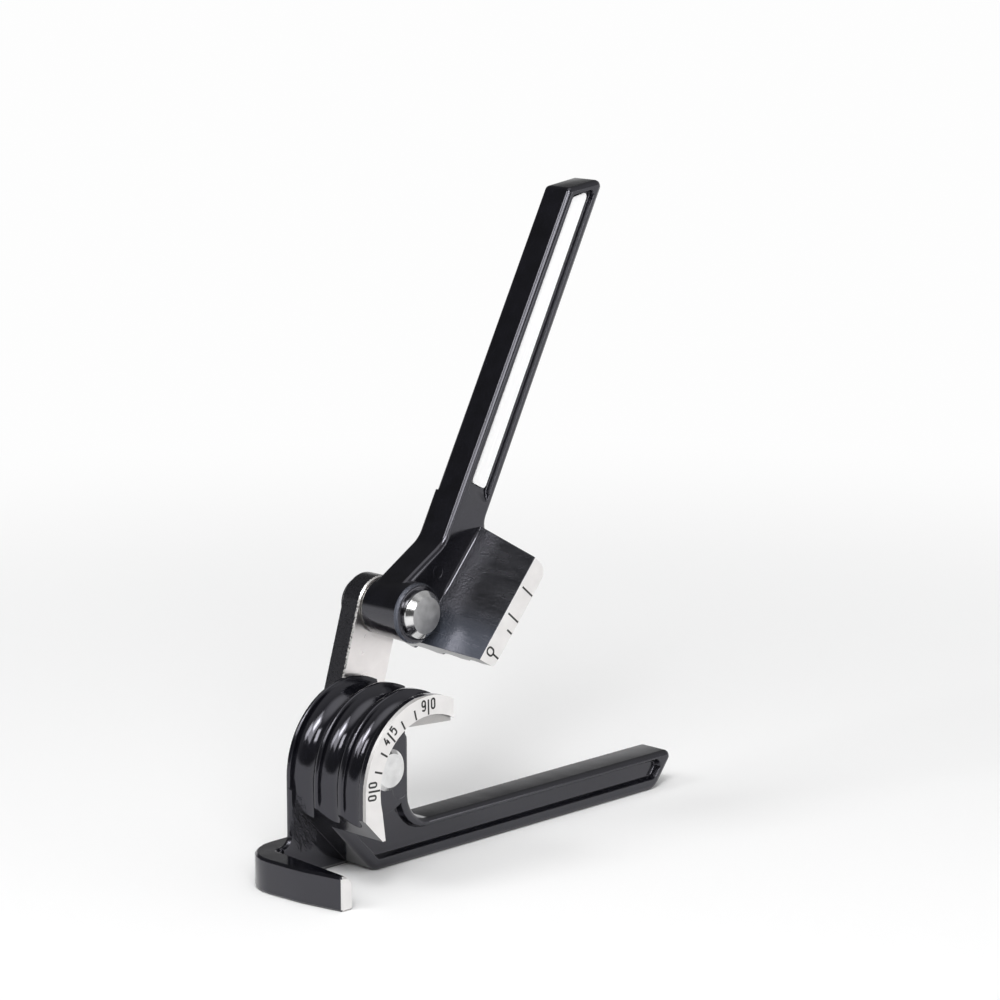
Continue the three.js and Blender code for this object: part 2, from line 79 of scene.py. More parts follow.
table_white = "F4F4F4"
fade_from = 0.12
fade_to = 0.60
floor_radius = 0.9
sweep_white = 0.985
room_left = 0.08
room_right = 0.50
room_side = (0.77, -0.64, 0)
room_from = -0.1
sweep_low = -0.02
sweep_high = 0.16
sweep_lean = 0.18
diagonal = 0.7
ceiling_from = 0.80
ceiling_glow = 1.2


def linear(code):
    """Linear colour of an sRGB hex value: its low part divided by 12.92, the rest raised to 2.4."""
    values = np.array([int(code[place:place + 2], 16) for place in (0, 2, 4)]) / 255
    curved = ((values + 0.055) / 1.055) ** 2.4
    return (*np.where(values <= 0.04045, values / 12.92, curved).tolist(), 1.0)


def add(tree, kind, settings, inputs):
    """Adds one node, sets its properties, and gives each input a value or a link."""
    node = tree.nodes.new("ShaderNode" + kind)
    for name, value in settings.items():
        setattr(node, name, value)
    for key, value in inputs.items():
        if isinstance(value, bpy.types.NodeSocket):
            tree.links.new(value, node.inputs[key])
        else:
            node.inputs[key].default_value = value
    return node


def empty_material(name):
    """A new material with nothing in its node tree."""
    material = bpy.data.materials.new(name)
    material.use_nodes = True
    material.node_tree.nodes.clear()
    return material, material.node_tree


def table_top_material():
    """Matt white board near the tool. Further out it takes on the white of the sweep."""
    material, tree = empty_material("matt_white_board")
    place = add(tree, "TexCoord", {}, {}).outputs["Object"]
    reach = add(tree, "VectorMath", {"operation": "LENGTH"}, {0: place}).outputs["Value"]
    fade = add(tree, "MapRange", {"interpolation_type": "SMOOTHSTEP"}, {
        "Value": reach, "From Min": fade_from, "From Max": fade_to}).outputs["Result"]
    board = add(tree, "BsdfDiffuse", {}, {"Color": linear(table_white)}).outputs["BSDF"]
    beyond = add(tree, "Emission", {}, {"Strength": sweep_white}).outputs["Emission"]
    mixed = add(tree, "MixShader", {}, {0: fade, 1: board, 2: beyond}).outputs["Shader"]
    add(tree, "OutputMaterial", {}, {"Surface": mixed})
    return material


def mesh_piece(name, points, faces, smooth=False):
    """A mesh object at the origin from an array of points and one of faces."""
    mesh = bpy.data.meshes.new(name)
    mesh.from_pydata(np.asarray(points).tolist(), [], [list(face) for face in faces])
    mesh.polygons.foreach_set("use_smooth", np.full(len(mesh.polygons), smooth))
    mesh.update()
    piece = bpy.data.objects.new(name, mesh)
    bpy.context.scene.collection.objects.link(piece)
    return piece


around = np.linspace(0, 2 * math.pi, 96, endpoint=False)
rim = floor_radius * np.stack([np.cos(around), np.sin(around), 0 * around], 1)
floor = mesh_piece("floor", rim, [range(len(rim))])
floor.data.materials.append(table_top_material())

world = bpy.data.worlds.new("studio")
bpy.context.scene.world = world
world.use_nodes = True
world.node_tree.nodes.clear()
sky = world.node_tree
look = add(sky, "TexCoord", {}, {}).outputs["Generated"]
height = add(sky, "SeparateXYZ", {}, {0: look}).outputs["Z"]
side = add(sky, "VectorMath", {"operation": "DOT_PRODUCT"}, {0: look, 1: room_side})
room = add(sky, "MapRange", {"interpolation_type": "SMOOTHSTEP"}, {
    "Value": side.outputs["Value"], "From Min": room_from, "From Max": 1.0,
    "To Min": room_left, "To Max": room_right}).outputs["Result"]
behind = add(sky, "VectorMath", {"operation": "DOT_PRODUCT"}, {
    0: look, 1: (diagonal * sweep_lean, diagonal * sweep_lean, 0)}).outputs["Value"]
above = add(sky, "Math", {"operation": "SUBTRACT"}, {0: height, 1: behind}).outputs["Value"]
sweep = add(sky, "MapRange", {"interpolation_type": "SMOOTHSTEP"}, {
    "Value": above, "From Min": sweep_low, "From Max": sweep_high,
    "To Min": 1.0, "To Max": 0.0}).outputs["Result"]
level = add(sky, "MapRange", {"clamp": False}, {
    "Value": sweep, "To Min": room, "To Max": sweep_white}).outputs["Result"]
ceiling = add(sky, "MapRange", {"interpolation_type": "SMOOTHSTEP"}, {
    "Value": height, "From Min": ceiling_from, "From Max": 1.0,
    "To Min": 0.0, "To Max": ceiling_glow}).outputs["Result"]
total = add(sky, "Math", {}, {0: level, 1: ceiling}).outputs["Value"]
surround = add(sky, "Background", {}, {"Color": (1, 1, 1, 1), "Strength": total})
add(sky, "OutputWorld", {}, {"Surface": surround.outputs["Background"]})


# Lamps.
# Soft boxes that stand where the bright patches on the round gloss paint say: a large one with a
# brighter middle above the camera, one far left, a small one in front and a low one on the right.

aim = Vector((-0.02, 0, 0.09))
lamp_distance = 2.2


def soft_box(name, azimuth, elevation, wide, high, radiance):
    """A rectangular lamp of a width and height in degrees, seen from the tool at a radiance."""
    turn, rise = math.radians(azimuth), math.radians(elevation)
    away = Vector((
        math.cos(rise) * math.cos(turn), math.cos(rise) * math.sin(turn), math.sin(rise)))
    lamp = bpy.data.lights.new(name, "AREA")
    lamp.shape = "RECTANGLE"
    lamp.size = 2 * lamp_distance * math.tan(math.radians(wide / 2))
    lamp.size_y = 2 * lamp_distance * math.tan(math.radians(high / 2))
    lamp.energy = radiance * math.pi * lamp.size * lamp.size_y
    holder = bpy.data.objects.new(name, lamp)
    holder.location = aim + lamp_distance * away
    holder.rotation_euler = away.to_track_quat("Z", "Y").to_euler()
    holder.visible_camera = False
    bpy.context.scene.collection.objects.link(holder)


soft_box("key_box", -139, 43, 34, 36, 3.3)
soft_box("key_core", -139, 48, 12, 17, 15.0)
soft_box("left_box", 167, 40, 18, 18, 7.0)
soft_box("front_strip", -118, 26, 13, 16, 6.0)
soft_box("low_strip", -64, 5, 36, 8, 2.4)


# Castings: form with the lower handle, and upper handle with the shoe.
# Both are pressure die castings, dipped and stoved in black gloss enamel. The scale face, the
# shoe's edge and the hook's end are milled flat after painting, so they are bright bare metal.

form_pivot, shoe_pivot = [np.array(joint["pos_m"]) for joint in frame["joints"]]
paint_black = "08080B"
paint_thin = "101015"
paint_gloss = "F4F3FF"
paint_index = 1.7
paint_ripple = 1.8e-3
ripple_depth = 0.006e-3
casting_wave = 11e-3
wave_depth = 0.05e-3
dust_size = 0.45e-3
dust_depth = 0.0025e-3
pool_size = 6e-3
sheen_size = 9e-3
smooth_limit = math.radians(38)
edge_softness = 0.36e-3
slope_softness = 0.35e-3
slope_root = 8.2e-3
painted_sheen_foot = 3e-3
painted_sheen_length = 15e-3
pitted_width = 1.6e-3
pit_size = 0.55e-3
pit_depth = 0.30e-3
skin_size = 0.8e-3
skin_depth = 0.035e-3
skin_sheen_size = 2e-3
ejector_edge = 0.3e-3
ejector_depth = 0.06e-3
web_ejector = (-0.0430, -0.00545, 0.0212)
web_ejector_radius = 3.0e-3
arm_ejector = (-0.0270, -0.00385, 0.0777)
arm_ejector_radius = 1.9e-3
wrinkle_centre = (-0.0683, 0.0048, 0.0158)
wrinkle_reach = (0.0062, 0.0030, 0.0105)
wrinkle_size = 1.5e-3
wrinkle_depth = 0.8e-3
wrinkle_lean = 14
cutter_centre = (0.32, 0, 0.11)
cutter_pitch = 0.33e-3
cutter_depth = 0.0005e-3
milled_grain = 5e-3
milled_sheen = 4e-3
file_size = 0.6e-3
file_depth = 0.004e-3
wave_period = 0.314
shoe_angle = 49.2
scale_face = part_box("shoe_handle")[0].y
face_slack = 0.02e-3
land_depth = 1.25e-3
square_on = 0.98
frontward = 0.6
slope_least = 0.05
slope_most = 0.8
# Reach of the painted shade that darkens the filed metal's colour in corners.
painted_shade_reach = 0.9e-3
weld_distance = 2e-6
satin_reach = 20e-3
satin_top = 30e-3


def noise(tree, place, size, detail=3.0, distortion=0.0):
    """Noise whose lumps are a size across, in metres."""
    return add(tree, "TexNoise", {}, {
        "Vector": place, "Scale": 1 / size,
        "Detail": detail, "Distortion": distortion}).outputs["Fac"]


def spread(tree, value, low, high, start=0.3, stop=0.7):
    """Maps a noise value onto a range."""
    return add(tree, "MapRange", {}, {
        "Value": value, "From Min": start, "From Max": stop,
        "To Min": low, "To Max": high}).outputs["Result"]


def mixed_colour(tree, factor, first, second):
    """A colour between two sRGB hex colours."""
    node = add(tree, "Mix", {"data_type": "RGBA"}, {
        "Factor": factor, "A": linear(first), "B": linear(second)})
    return node.outputs[2]


def raised(tree, height, depth, normal=None, strength=1.0):
    """Normal of a surface with a relief of a depth in metres."""
    inputs = {"Height": height, "Distance": depth, "Strength": strength}
    if normal:
        inputs["Normal"] = normal
    return add(tree, "Bump", {}, inputs).outputs["Normal"]


def ejector_disc(tree, place, centre, radius):
    """Height of a faint round step where an ejector of the die met the casting."""
    away = add(tree, "VectorMath", {"operation": "DISTANCE"}, {
        0: place, 1: centre}).outputs["Value"]
    return add(tree, "MapRange", {"interpolation_type": "SMOOTHSTEP"}, {
        "Value": away, "From Min": radius - ejector_edge, "From Max": radius}).outputs["Result"]


def gloss_enamel_material(name, ejector_centre, ejector_radius):
    """Stoved gloss enamel: near black, a faint orange peel over the slow waves of the casting.

    Shallow wrinkles show where the metal met the die wall first, and a round step where it was
    pushed out."""
    material, tree = empty_material(name)
    place = add(tree, "TexCoord", {}, {}).outputs["Object"]
    soft = add(tree, "Bevel", {"samples": 6}, {"Radius": edge_softness}).outputs["Normal"]
    waves = raised(tree, noise(tree, place, casting_wave, 1), wave_depth, soft)
    disc = ejector_disc(tree, place, ejector_centre, ejector_radius)
    step = raised(tree, disc, ejector_depth, waves)
    stretched = add(tree, "Mapping", {"vector_type": "TEXTURE"}, {
        "Vector": place, "Scale": (1, 1, 3),
        "Rotation": (0, math.radians(-wrinkle_lean), 0)}).outputs["Vector"]
    from_wrinkles = add(tree, "Mapping", {"vector_type": "TEXTURE"}, {
        "Vector": place, "Location": wrinkle_centre, "Scale": wrinkle_reach}).outputs["Vector"]
    outwards = add(tree, "VectorMath", {"operation": "LENGTH"}, {0: from_wrinkles})
    inside = add(tree, "MapRange", {"interpolation_type": "SMOOTHSTEP"}, {
        "Value": outwards.outputs["Value"],
        "From Min": 1.0, "From Max": 0.55}).outputs["Result"]
    folds = noise(tree, stretched, wrinkle_size, 4, 2.0)
    flow = raised(tree, folds, wrinkle_depth, step, inside)
    peel = raised(tree, noise(tree, place, paint_ripple, 2), ripple_depth, flow)
    dust = raised(tree, noise(tree, place, dust_size, 2), dust_depth, peel)
    pool = noise(tree, place, pool_size, 4, 0.4)
    shader = add(tree, "BsdfPrincipled", {}, {
        "Base Color": mixed_colour(tree, spread(tree, pool, 0, 1), paint_black, paint_thin),
        "Roughness": spread(tree, noise(tree, place, sheen_size, 5), 0.09, 0.15),
        "IOR": paint_index,
        "Specular Tint": linear(paint_gloss),
        "Normal": dust})
    add(tree, "OutputMaterial", {}, {"Surface": shader.outputs["BSDF"]})
    return material


def satin_enamel_material():
    """The same enamel on the as-cast skin of the shoe: satin, with flow lines and fine pits.

    The metal ran across the slope. Its base colour is painted lighter and greyer towards its low
    end, a painted sheen."""
    material, tree = empty_material("black_satin_enamel_painted_sheen")
    place = add(tree, "TexCoord", {}, {}).outputs["Object"]
    soft = add(tree, "Bevel", {"samples": 6}, {"Radius": slope_softness}).outputs["Normal"]
    flow = add(tree, "Mapping", {"vector_type": "TEXTURE"}, {
        "Vector": place, "Rotation": (0, -math.radians(shoe_angle), 0),
        "Scale": (1, 5, 5)}).outputs["Vector"]
    skin = raised(tree, noise(tree, flow, skin_size, 5, 0.3), skin_depth, soft)
    turn = math.radians(shoe_angle)
    outward = add(tree, "VectorMath", {"operation": "DOT_PRODUCT"}, {
        0: place, 1: (math.sin(turn), 0, -math.cos(turn))}).outputs["Value"]
    root = float(shoe_pivot[[0, 2]] @ [math.sin(turn), -math.cos(turn)]) + slope_root
    beside_root = add(tree, "MapRange", {}, {
        "Value": outward, "From Min": root, "From Max": root + pitted_width,
        "To Min": 1.0, "To Max": 0.12}).outputs["Result"]
    pits = raised(tree, noise(tree, place, pit_size, 3), pit_depth, skin, beside_root)
    along = add(tree, "VectorMath", {"operation": "DOT_PRODUCT"}, {
        0: place, 1: (math.cos(turn), 0, math.sin(turn))}).outputs["Value"]
    foot = float(shoe_pivot[[0, 2]] @ [math.cos(turn), math.sin(turn)]) - painted_sheen_foot
    # Painted sheen: the base colour lightens from 0F1012 to 42464F towards the slope's low end.
    painted_sheen_low_end = add(tree, "MapRange", {"interpolation_type": "SMOOTHSTEP"}, {
        "Value": along, "From Min": foot, "From Max": foot + painted_sheen_length,
        "To Min": 1.0, "To Max": 0.0}).outputs["Result"]
    shader = add(tree, "BsdfPrincipled", {}, {
        "Base Color": mixed_colour(tree, painted_sheen_low_end, "0F1012", "42464F"),
        "Roughness": spread(tree, noise(tree, flow, skin_sheen_size, 5), 0.19, 0.29),
        "IOR": paint_index,
        "Specular Tint": linear(paint_gloss),
        "Normal": pits})
    add(tree, "OutputMaterial", {}, {"Surface": shader.outputs["BSDF"]})
    return material


def milled_aluminium_material():
    """Bare cast aluminium after a fly cutter: bright, with arcs a third of a millimetre apart.

    A wave texture at scale 1 repeats every wave_period, so its scale is that over the pitch."""
    material, tree = empty_material("milled_aluminium")
    place = add(tree, "TexCoord", {}, {}).outputs["Object"]
    swung = add(tree, "Mapping", {}, {"Vector": place, "Location": cutter_centre})
    arcs = add(tree, "TexWave", {"wave_type": "RINGS", "rings_direction": "Y"}, {
        "Vector": swung.outputs["Vector"], "Scale": wave_period / cutter_pitch,
        "Distortion": 0.6, "Detail": 3}).outputs["Fac"]
    cut = raised(tree, arcs, cutter_depth)
    grain = noise(tree, place, milled_grain, 3)
    shader = add(tree, "BsdfPrincipled", {}, {
        "Base Color": mixed_colour(tree, spread(tree, grain, 0, 1), "E4E2E1", "ECEAE9"),
        "Metallic": 1.0,
        "Roughness": spread(tree, noise(tree, place, milled_sheen, 4), 0.34, 0.42),
        "Normal": cut})
    add(tree, "OutputMaterial", {}, {"Surface": shader.outputs["BSDF"]})
    return material


def filed_aluminium_material():
    """Bare aluminium with its edge broken by hand: duller and greyer, with painted shade that
    darkens its colour deep in a corner.
    """
    material, tree = empty_material("filed_aluminium_painted_shade")
    place = add(tree, "TexCoord", {}, {}).outputs["Object"]
    # Painted shade: ambient occlusion darkens the base colour towards 4A4A4B deep in corners.
    corner = add(tree, "AmbientOcclusion", {"samples": 8}, {"Distance": painted_shade_reach}).outputs["AO"]
    away_from_painted_shade = add(tree, "MapRange", {}, {
        "Value": corner, "From Min": 0.35, "From Max": 0.85}).outputs["Result"]
    scratches = noise(tree, place, file_size, 4)
    shader = add(tree, "BsdfPrincipled", {}, {
        "Base Color": mixed_colour(tree, away_from_painted_shade, "4A4A4B", "B9B7B6"),
        "Metallic": 0.9,
        "Roughness": spread(tree, scratches, 0.5, 0.62),
        "Normal": raised(tree, scratches, file_depth)})
    add(tree, "OutputMaterial", {}, {"Surface": shader.outputs["BSDF"]})
    return material


def finished(node, body, materials, choose=None):
    """The CAD node's mesh with its loose triangles merged, smooth over its curves, in its place.

    choose gets each face's centre and normal, as arrays, and returns each one's material."""
    work = bmesh.new()
    work.from_mesh(frame["nodes"][node].data)
    bmesh.ops.remove_doubles(work, verts=work.verts, dist=weld_distance)
    mesh = bpy.data.meshes.new(node + "_finished")
    mesh.from_pydata([tuple(vertex.co) for vertex in work.verts], [],
                     [[vertex.index for vertex in face.verts] for face in work.faces])
    work.free()
    mesh.polygons.foreach_set("use_smooth", np.ones(len(mesh.polygons), bool))
    mesh.set_sharp_from_angle(angle=smooth_limit)
    for material in materials:
        mesh.materials.append(material)
    if choose:
        centres, normals = np.zeros((2, len(mesh.polygons) * 3))
        mesh.polygons.foreach_get("center", centres)
        mesh.polygons.foreach_get("normal", normals)
        chosen = choose(centres.reshape(-1, 3), normals.reshape(-1, 3))
        mesh.polygons.foreach_set("material_index", chosen.astype(np.int32))
    piece = bpy.data.objects.new(node + "_finished", mesh)
    bpy.context.scene.collection.objects.link(piece)
    weighted = piece.modifiers.new("flat faces stay flat", "WEIGHTED_NORMAL")
    weighted.mode = "FACE_AREA"
    weighted.weight = 100
    weighted.keep_sharp = True
    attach(piece, body)
    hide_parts(node)
    return piece


def form_faces(centres, normals):
    """Milled on the scale face and the hook's end, filed with painted corner shade on broken edges
    and the arm's step.
    """
    flat = normals[:, 1] < -square_on
    front = normals[:, 1] < -frontward
    near = centres[:, 1] < scale_face + land_depth
    hook_end = (centres[:, 1] < scale_face - face_slack) & front
    milled_here = hook_end | flat & (centres[:, 1] < scale_face + face_slack)
    return np.where(milled_here, 1, np.where(front & near, 2, 0))


def shoe_faces(centres, normals):
    """Bare edge, satin slope behind it, and gloss elsewhere."""
    bare = (normals[:, 1] < -frontward) & (centres[:, 1] < scale_face + land_depth)
    leaning = (normals[:, 1] < -slope_least) & (normals[:, 1] > -slope_most)
    in_front = centres[:, 1] < scale_face + satin_reach
    below_grip = centres[:, 2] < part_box("handle_pivot_pin")[1].z + satin_top
    return np.where(bare, 1, np.where(leaning & in_front & below_grip, 2, 0))


form_gloss = gloss_enamel_material("gloss_enamel_form", web_ejector, web_ejector_radius)
shoe_gloss = gloss_enamel_material("gloss_enamel_shoe", arm_ejector, arm_ejector_radius)
satin = satin_enamel_material()
milled = milled_aluminium_material()
filed = filed_aluminium_material()
finished("form_handle", "form", [form_gloss, milled, filed], form_faces)
finished("shoe_handle", "shoe", [shoe_gloss, milled, satin], shoe_faces)


# Fillet between the handle's root and the shoe's slope.
# The casting is rounded where the slope rises out of the root's front face. The enamel gathers in
# this hollow, and shows a bright line along it.

fillet_radius = 0.95e-3
fillet_start = 10.0e-3
fillet_stop = 31.0e-3
fillet_line = 7.98e-3
root_face = scale_face + 20.1e-3
slope_lean = (-0.982, -0.186)
fillet_fullness = 1.6
fillet_thinnest = 0.05
fillet_steps = 9
fillet_stations = 64


def fillet_points():
    """Grid of a hollow round that touches two planes: its centre line less radius times normal.

    The normal turns from the root's face, straight forward, to the slope's. The ends thin out."""
    turn = math.radians(shoe_angle)
    along = np.array([math.cos(turn), 0, math.sin(turn)])
    away = np.array([math.sin(turn), 0, -math.cos(turn)])
    angle = np.linspace(0, math.atan2(-slope_lean[0], -slope_lean[1]), fillet_steps)[None, :]
    place = np.linspace(0, 1, fillet_stations)[:, None]
    swell = np.sqrt(np.sin(math.pi * place)) * fillet_fullness
    radius = fillet_radius * np.clip(swell, fillet_thinnest, 1)
    offset = radius * (1 + slope_lean[1]) / -slope_lean[0]
    across = fillet_line - offset + radius * np.sin(angle)
    depth = root_face - radius + radius * np.cos(angle)
    length = fillet_start + place * (fillet_stop - fillet_start) + 0 * angle
    middle = np.array([shoe_pivot[0], 0, shoe_pivot[2]])
    sideways = length[..., None] * along + across[..., None] * away
    return middle + sideways + depth[..., None] * np.array([0, 1, 0])


def grid_faces(rows, columns):
    """Quads of a grid of rows and columns, wound so that they face the front."""
    corner = (np.arange(rows - 1)[:, None] * columns + np.arange(columns - 1)).ravel()
    return np.stack([corner, corner + columns, corner + columns + 1, corner + 1], 1)


hollow = mesh_piece("slope_fillet", fillet_points().reshape(-1, 3),
                    grid_faces(fillet_stations, fillet_steps), True)
hollow.data.materials.append(shoe_gloss)
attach(hollow, "shoe")


# Scale and setting marks.
# Black filled strokes on the milled faces, each a band that stands a hair proud of the metal. The
# scale has six equal steps of a little over 14 degrees, with plain numbers beside the long lines.

stroke_width = 0.54e-3
stroke_height = 0.03e-3
digit_half_width = 0.58e-3
digit_half_height = 1.32e-3
digit_slimness = 0.95
scale_start = 176.0
scale_step = 14.1
scale_lines = 7
lines_per_number = 3
scale_numbers = ("00", "45", "90")
line_foot = 18.2e-3
long_line = 22.3e-3
short_line = 21.0e-3
digit_radius = 20.9e-3
digit_gap = 1.72e-3
ring_away = 13.8e-3
ring_along = -0.3e-3
ring_radius = 1.0e-3
ring_rise = 0.3e-3
shoe_lines = ((-0.3, 14.8, 17.7), (7.5, 15.5, 17.7), (11.2, 12.9, 17.7), (19.5, 12.9, 17.7))
filler_speck = 0.25e-3
filler_depth = 0.01e-3


def engraving_ink_material():
    """Black filler in engraved strokes: matt, with a faint speckle."""
    material, tree = empty_material("black_filler")
    place = add(tree, "TexCoord", {}, {}).outputs["Object"]
    speck = noise(tree, place, filler_speck, 4)
    shader = add(tree, "BsdfPrincipled", {}, {
        "Base Color": mixed_colour(tree, spread(tree, speck, 0, 1), "121212", "2C2B2B"),
        "Roughness": 0.55,
        "Normal": raised(tree, speck, filler_depth)})
    add(tree, "OutputMaterial", {}, {"Surface": shader.outputs["BSDF"]})
    return material


def arc(centre_x, centre_z, radius, start, stop, steps=10):
    """Points on a circle between two angles in degrees."""
    angle = np.radians(np.linspace(start, stop, steps))
    return np.stack([centre_x + radius * np.cos(angle), centre_z + radius * np.sin(angle)], 1)


def stroke(points, width, closed=False):
    """Both edges of a band along a path: each point is moved sideways along its mitre."""
    path = np.asarray(points, float)
    before = np.roll(path, 1, 0) if closed else np.vstack([2 * path[0] - path[1], path[:-1]])
    after = np.roll(path, -1, 0) if closed else np.vstack([path[1:], 2 * path[-1] - path[-2]])
    first = (path - before) / np.linalg.norm(path - before, axis=1)[:, None]
    second = (after - path) / np.linalg.norm(after - path, axis=1)[:, None]
    along = first + second
    along /= np.linalg.norm(along, axis=1)[:, None]
    sideways = np.stack([-along[:, 1], along[:, 0]], 1)
    reach = width / 2 / np.clip((along * first).sum(1), 0.5, 1)
    return path + sideways * reach[:, None], path - sideways * reach[:, None]


def band(points, closed, centre, up, width=stroke_width):
    """Points and faces of a raised stroke, turned to follow up and moved to its centre."""
    left, right = stroke(points, width, closed)
    count = len(left)
    flat = np.vstack([left, right])
    across = np.array([up[1], -up[0]])
    placed = centre + flat[:, :1] * across + flat[:, 1:] * up
    top = np.stack([placed[:, 0], np.full(2 * count, scale_face - stroke_height), placed[:, 1]], 1)
    foot = top + np.array([0, 2 * stroke_height, 0])
    one = np.arange(count if closed else count - 1)
    two = (one + 1) % count
    quads = [
        np.stack([one, two, two + count, one + count], 1),
        np.stack([one + 2 * count, one + 3 * count, two + 3 * count, two + 2 * count], 1),
        np.stack([one, one + 2 * count, two + 2 * count, two], 1),
        np.stack([one + count, two + count, two + 3 * count, one + 3 * count], 1)]
    if not closed:
        first_end = [0, count, 3 * count, 2 * count]
        last_end = [count - 1, 3 * count - 1, 4 * count - 1, 2 * count - 1]
        quads.append(np.array([first_end, last_end]))
    return np.vstack([top, foot]), np.vstack(quads)


def digit_strokes(digit):
    """Engraver's skeleton strokes of a digit, each with whether it is closed."""
    a, b = digit_half_width, digit_half_height
    if digit == "0":
        return [(np.vstack([arc(0, b - a, a, 0, 180), arc(0, a - b, a, 180, 360)]), True)]
    if digit == "4":
        return [([[0.1 * a, b], [-a, -0.35 * b], [a, -0.35 * b]], False),
                ([[0.45 * a, 0.25 * b], [0.45 * a, -b]], False)]
    if digit == "5":
        bowl = np.vstack([arc(0, -0.02 * b, a, 110, 0), arc(0, a - b, a, 0, -150)])
        return [(np.vstack([[[a, b], [-0.85 * a, b], [-0.85 * a, 0.22 * b]], bowl]), False)]
    loop = np.vstack([arc(0, b - a, a, 0, 180), arc(0, 0.25 * b, a, 180, 360)])
    return [(loop, True), (np.vstack([[[a, 0.3 * b]], arc(0, a - b, a, 0, -150)]), False)]


def marks(name, bands, body, material):
    """One piece from many bands, its faces turned outwards."""
    sizes = np.cumsum([0] + [len(points) for points, faces in bands])
    points = np.vstack([points for points, faces in bands])
    faces = np.vstack([faces + start for start, (_, faces) in zip(sizes, bands)])
    piece = mesh_piece(name, points, faces)
    work = bmesh.new()
    work.from_mesh(piece.data)
    bmesh.ops.recalc_face_normals(work, faces=work.faces)
    work.to_mesh(piece.data)
    work.free()
    piece.data.materials.append(material)
    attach(piece, body)
    return piece


def scale_bands():
    """Lines in equal steps round the form's pivot, and a pair of digits at every third."""
    centre = form_pivot[[0, 2]]
    bands = []
    for index in range(scale_lines):
        angle = math.radians(scale_start - index * scale_step)
        outward = np.array([math.cos(angle), math.sin(angle)])
        across = np.array([outward[1], -outward[0]])
        numbered = index % lines_per_number == 0
        top = long_line if numbered else short_line
        bands.append(band([[0, line_foot], [0, top]], False, centre, outward))
        if numbered:
            for digit, sign in zip(scale_numbers[index // lines_per_number], (-1, 1)):
                place = centre + digit_radius * outward + sign * digit_gap * across
                bands += [band(path, closed, place, outward, digit_slimness * stroke_width)
                          for path, closed in digit_strokes(digit)]
    return bands


def shoe_bands():
    """A ring and lines on the shoe's edge, placed along the grooves and away from the pivot.

    Each line has its place along the grooves, and its start and stop away from the pivot, in mm."""
    turn = math.radians(shoe_angle)
    along = np.array([math.cos(turn), math.sin(turn)])
    away = np.array([math.sin(turn), -math.cos(turn)])
    centre = shoe_pivot[[0, 2]]
    ring = np.vstack([arc(0, ring_rise, ring_radius, 0, 180),
                      arc(0, -ring_rise, ring_radius, 180, 360)])
    bands = [band(ring, True, centre + ring_along * along + ring_away * away, -away)]
    for place, start, stop in shoe_lines:
        path = [[0, -stop * 1e-3], [0, -start * 1e-3]]
        bands.append(band(path, False, centre + place * 1e-3 * along, -away))
    return bands


filler = engraving_ink_material()
marks("scale_marks", scale_bands(), "form", filler)
marks("shoe_marks", shoe_bands(), "shoe", filler)


# Link.
# Flat steel bar with round ends, blanked in a press. Its sheared edges are blackened, and its flat
# faces are ground and plated bright, so a torn bright line runs along each front edge.

link_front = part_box("link")[0].y
link_angle = 73
torn_line = 0.45e-3
flat_on = 0.9
rolling_size = 0.5e-3
rolling_depth = 0.0006e-3
plating_cloud = 5e-3
ragged_size = 0.5e-3
ragged_depth = 0.03e-3


def plated_bar_material():
    """Bright plated rolled steel: faint lines along the bar and soft clouds in the plating."""
    material, tree = empty_material("bright_plated_steel")
    place = add(tree, "TexCoord", {}, {}).outputs["Object"]
    rolled = add(tree, "Mapping", {"vector_type": "TEXTURE"}, {
        "Vector": place, "Rotation": (0, math.radians(-link_angle), 0),
        "Scale": (12, 1, 1)}).outputs["Vector"]
    lines = noise(tree, rolled, rolling_size, 3)
    clouds = noise(tree, place, plating_cloud, 4, 0.5)
    shader = add(tree, "BsdfPrincipled", {}, {
        "Base Color": mixed_colour(tree, spread(tree, clouds, 0, 1), "E4E0DF", "ECE8E7"),
        "Metallic": 1.0,
        "Roughness": spread(tree, clouds, 0.26, 0.34),
        "Normal": raised(tree, lines, rolling_depth)})
    add(tree, "OutputMaterial", {}, {"Surface": shader.outputs["BSDF"]})
    return material


def sheared_edge_material():
    """Edge of a blanked bar: black oxide, and a torn bright line beside the ground front face."""
    material, tree = empty_material("sheared_steel_edge")
    place = add(tree, "TexCoord", {}, {}).outputs["Object"]
    depth = add(tree, "SeparateXYZ", {}, {0: place}).outputs["Y"]
    ragged = noise(tree, place, ragged_size, 4)
    torn = add(tree, "MapRange", {}, {
        "Value": add(tree, "Math", {"operation": "MULTIPLY_ADD"}, {
            0: ragged, 1: -2 * torn_line, 2: depth}).outputs["Value"],
        "From Min": link_front - 0.3 * torn_line, "From Max": link_front,
        "To Min": 1.0, "To Max": 0.0}).outputs["Result"]
    shader = add(tree, "BsdfPrincipled", {}, {
        "Base Color": mixed_colour(tree, torn, "111113", "E0DEDC"),
        "Metallic": torn,
        "Roughness": spread(tree, ragged, 0.22, 0.38),
        "IOR": paint_index,
        "Specular Tint": linear(paint_gloss),
        "Normal": raised(tree, ragged, ragged_depth)})
    add(tree, "OutputMaterial", {}, {"Surface": shader.outputs["BSDF"]})
    return material


def bar_faces(centres, normals):
    """Flat faces are plated bright, and the rest is the sheared edge."""
    return np.where(np.abs(normals[:, 1]) > flat_on, 0, 1)


finished("link", "link", [plated_bar_material(), sheared_edge_material()], bar_faces)


# Pivot pins.
# Turned from bright steel bar: a chamfered head in front, a shank through the casting and the link,
# and a groove for the retaining ring behind. The heads show the fine rings of the lathe tool.

lathe_pitch = 0.2e-3
lathe_depth = 0.004e-3
pin_cloud = 2.5e-3


